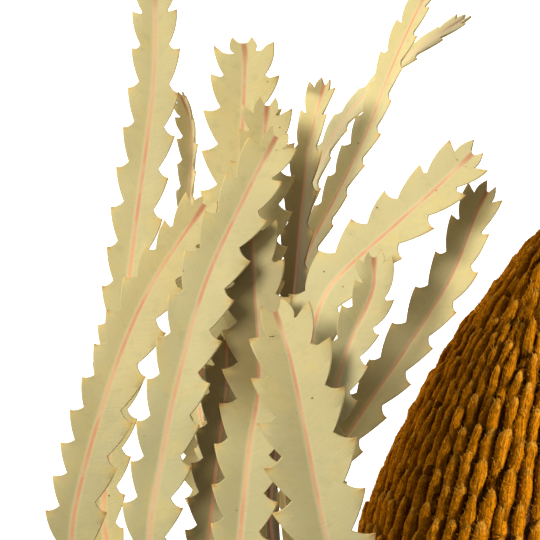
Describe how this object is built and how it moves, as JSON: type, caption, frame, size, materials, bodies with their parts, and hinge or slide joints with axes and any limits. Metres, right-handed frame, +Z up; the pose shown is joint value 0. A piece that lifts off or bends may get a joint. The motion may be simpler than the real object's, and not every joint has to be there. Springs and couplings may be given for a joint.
{
  "type": "banksia cone on a cut leafy stem",
  "caption": "Woolly, dome-shaped banksia flower cone on its cut woody stem, lying on its side, with a leafy side shoot and long saw-edged leaves.",
  "frame": {"origin": "the middle of the small flat spot on the cone's belly, where the cone rests on the surface", "axes": "+Z up from the surface, +Y along the stem towards the cone's tip, +X to the cone's side away from the leafy shoot"},
  "size_m": [0.1828, 0.2687, 0.0884],
  "materials": {
    "florets": "dry woolly florets, orange-brown with golden tips and dark brown hollows",
    "bark": "dry woody stem, matt brown with fine down and leaf scars",
    "leaf": "dry leathery leaf, pale grey-green with an orange-pink midrib, satin to matt",
    "leaf_shade": "dry leathery leaf, darker olive-brown, satin to matt"
  },
  "bodies": {
    "root": {"cone": "florets", "stem": "bark", "leaf_front": "leaf", "leaf_centre": "leaf", "leaf_outer": "leaf", "leaf_tall": "leaf", "leaf_middle": "leaf", "leaf_crown": "leaf", "leaf_crown_small": "leaf", "leaf_dark": "leaf_shade", "leaf_pale": "leaf", "leaf_curled": "leaf", "leaf_shaded": "leaf_shade", "leaf_back_long": "leaf_shade", "leaf_back_edge": "leaf_shade", "leaf_edge_left": "leaf_shade", "leaf_under_middle": "leaf_shade", "leaf_low_middle": "leaf_shade", "leaf_splayed": "leaf", "leaf_cone_side": "leaf", "leaf_cone_low": "leaf", "leaf_cone_top": "leaf", "leaf_cone_under": "leaf", "leaf_stem_right": "leaf", "leaf_stem_low": "leaf"}
  },
  "joints": []
}
